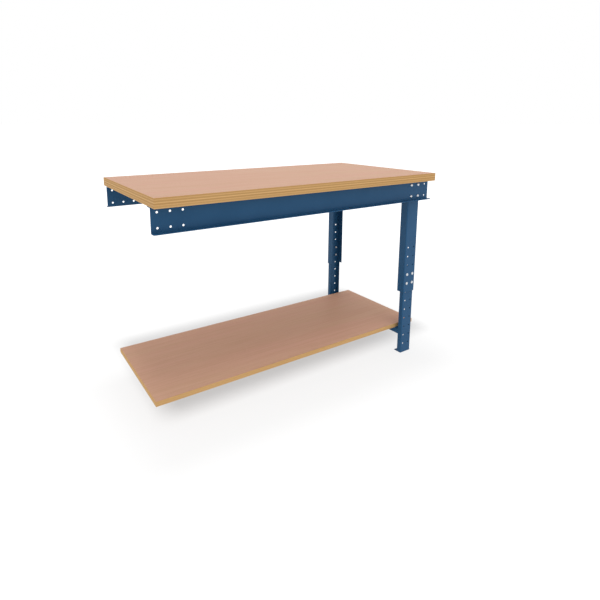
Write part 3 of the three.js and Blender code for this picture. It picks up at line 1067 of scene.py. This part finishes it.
class TABLE_OT_welds(Operator):
    """Makes the weld beads of the feet and the cross members"""

    bl_idname = "table.welds"
    bl_label = "Welds"

    def execute(self, context):
        steel = context.scene.assembly_table.steel
        sheet = steel.sheet
        bearer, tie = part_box("shelf_bearer"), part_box("head_tie")
        lower, upper = [], []
        for side, sign in SIDES.items():
            low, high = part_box(f"{side}_inner_leg")
            left, right, foot = low.x + sheet, high.x - sheet, low.z
            edge = open_edge(f"{side}_inner_leg", sign)
            web = edge + sign * (high.y - low.y - sheet)
            lower.append([(left, edge, foot), (left, web, foot), (right, web, foot), (right, edge, foot)])
            for x in (left, right):
                lower.append([(x, edge, bearer[0].z), (x, edge, bearer[1].z - sheet)])
            edge = open_edge(f"{side}_outer_leg", sign)
            for x in (tie[0].x, tie[0].x + sheet, tie[1].x - sheet, tie[1].x):
                upper.append([(x, edge, tie[0].z), (x, edge, tie[1].z - sheet)])
        settle(welded("lower_welds", lower, steel), LOWER, [])
        settle(welded("upper_welds", upper, steel), UPPER, [])
        return {"FINISHED"}


class TABLE_OT_bolts(Operator):
    """Makes the round-headed bolts and their nuts"""

    bl_idname = "table.bolts"
    bl_label = "Bolts and nuts"

    def execute(self, context):
        settings = context.scene.assembly_table
        fasteners, sheet = settings.fasteners, settings.steel.sheet
        rail_shank = 2 * sheet + fasteners.nut_height
        head, nut = fasteners.head_height, nut_mesh(fasteners)
        kinds = {
            "rail_bolt": (bolt_mesh(fasteners, rail_shank - SHANK_GAP), head),
            "height_bolt": (bolt_mesh(fasteners, sheet - SHANK_GAP), head),
            "rail_nut": (nut, 0),
            "height_nut": (nut, 0),
        }
        for kind, (mesh, depth) in kinds.items():
            places, facing = outward(node_names(kind), depth)
            piece = fasten(kind + "s", mesh, places, facing, fasteners)
            settle(piece, UPPER, node_names(kind))
        return {"FINISHED"}


class TABLE_OT_wood_screws(Operator):
    """Makes the screws that hold the boards"""

    bl_idname = "table.wood_screws"
    bl_label = "Wood screws"

    def execute(self, context):
        fasteners = context.scene.assembly_table.fasteners
        head = fasteners.screw_height
        groups = {
            "top_screws": (node_names("top_screw"), UPPER),
            "shelf_screws": (node_names("screw", ["shelf"]), LOWER),
        }
        for name, (nodes, body) in groups.items():
            boxes = [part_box(node) for node in nodes]
            reach = boxes[0][1].z - boxes[0][0].z - head
            places = [((low.x + high.x) / 2, (low.y + high.y) / 2, low.z + head) for low, high in boxes]
            facing = [(0, 0, 1)] * len(places)
            piece = fasten(name, screw_mesh(fasteners, reach), places, facing, fasteners)
            settle(piece, body, nodes)
        return {"FINISHED"}


class TABLE_OT_stage(Operator):
    """Makes the camera, the floor and the light; the worktop has to be there"""

    bl_idname = "table.stage"
    bl_label = "Stage"

    def execute(self, context):
        stage = context.scene.assembly_table.stage
        data = bpy.data.cameras.new("camera")
        data.lens = stage.lens
        data.shift_x, data.shift_y = stage.shift
        camera = new_object("camera", data)
        camera.location = stage.camera
        camera.rotation_euler = (math.pi / 2 - stage.tilt, 0, -stage.turn)
        context.scene.camera = camera
        context.scene.view_settings.view_transform = "Standard"

        def fill(shape):
            bmesh.ops.create_grid(shape, x_segments=1, y_segments=1, size=stage.floor_reach)

        mesh = mesh_from("floor", fill)
        mesh.materials.append(floor_material(stage))
        floor = new_object("floor", mesh)
        white_world(stage.sky)
        table = lamp_link("all but the floor", floor, "EXCLUDE")
        distant_lamp("overhead", stage.overhead_from, stage.overhead, stage.overhead_width, table)
        distant_lamp("front", stage.front_from, stage.front, stage.front_width, table)
        distant_lamp("side", stage.side_from, stage.side, stage.side_width, table)
        ground = lamp_link("floor only", floor, "INCLUDE")
        worktop = lamp_link("worktop only", bpy.data.objects["worktop_board"], "INCLUDE")
        softbox("floor overhead", stage.floor_top_at, stage.floor_top, stage.floor_top_size, ground)
        size = stage.floor_front_size
        softbox("floor front", stage.floor_front_at, stage.floor_front, size, ground, worktop)
        return {"FINISHED"}


OPERATORS = (
    TABLE_OT_worktop,
    TABLE_OT_lower_shelf,
    TABLE_OT_side_rails,
    TABLE_OT_outer_legs,
    TABLE_OT_inner_legs,
    TABLE_OT_foot_plates,
    TABLE_OT_cross_members,
    TABLE_OT_welds,
    TABLE_OT_bolts,
    TABLE_OT_wood_screws,
    TABLE_OT_stage,
)


class TABLE_PT_panel(Panel):
    """Lists the table's pieces and their settings"""

    bl_label = "Assembly table"
    bl_idname = "TABLE_PT_panel"
    bl_space_type = "VIEW_3D"
    bl_region_type = "UI"
    bl_category = "Assembly table"

    def draw(self, context):
        settings = context.scene.assembly_table
        for operator in OPERATORS:
            self.layout.operator(operator.bl_idname)
        for group in (settings.boards, settings.steel, settings.fasteners, settings.stage):
            box = self.layout.box()
            for name in group.__annotations__:
                box.prop(group, name)


GROUPS = (BoardSettings, SteelSettings, FastenerSettings, StageSettings, TableSettings)


def register():
    for kind in (*GROUPS, *OPERATORS, TABLE_PT_panel):
        bpy.utils.register_class(kind)
    bpy.types.Scene.assembly_table = PointerProperty(type=TableSettings)


def unregister():
    del bpy.types.Scene.assembly_table
    for kind in reversed((*GROUPS, *OPERATORS, TABLE_PT_panel)):
        bpy.utils.unregister_class(kind)


def main():
    register()
    for operator in OPERATORS:
        group, name = operator.bl_idname.split(".")
        getattr(getattr(bpy.ops, group), name)()


if __name__ == "__main__":
    main()
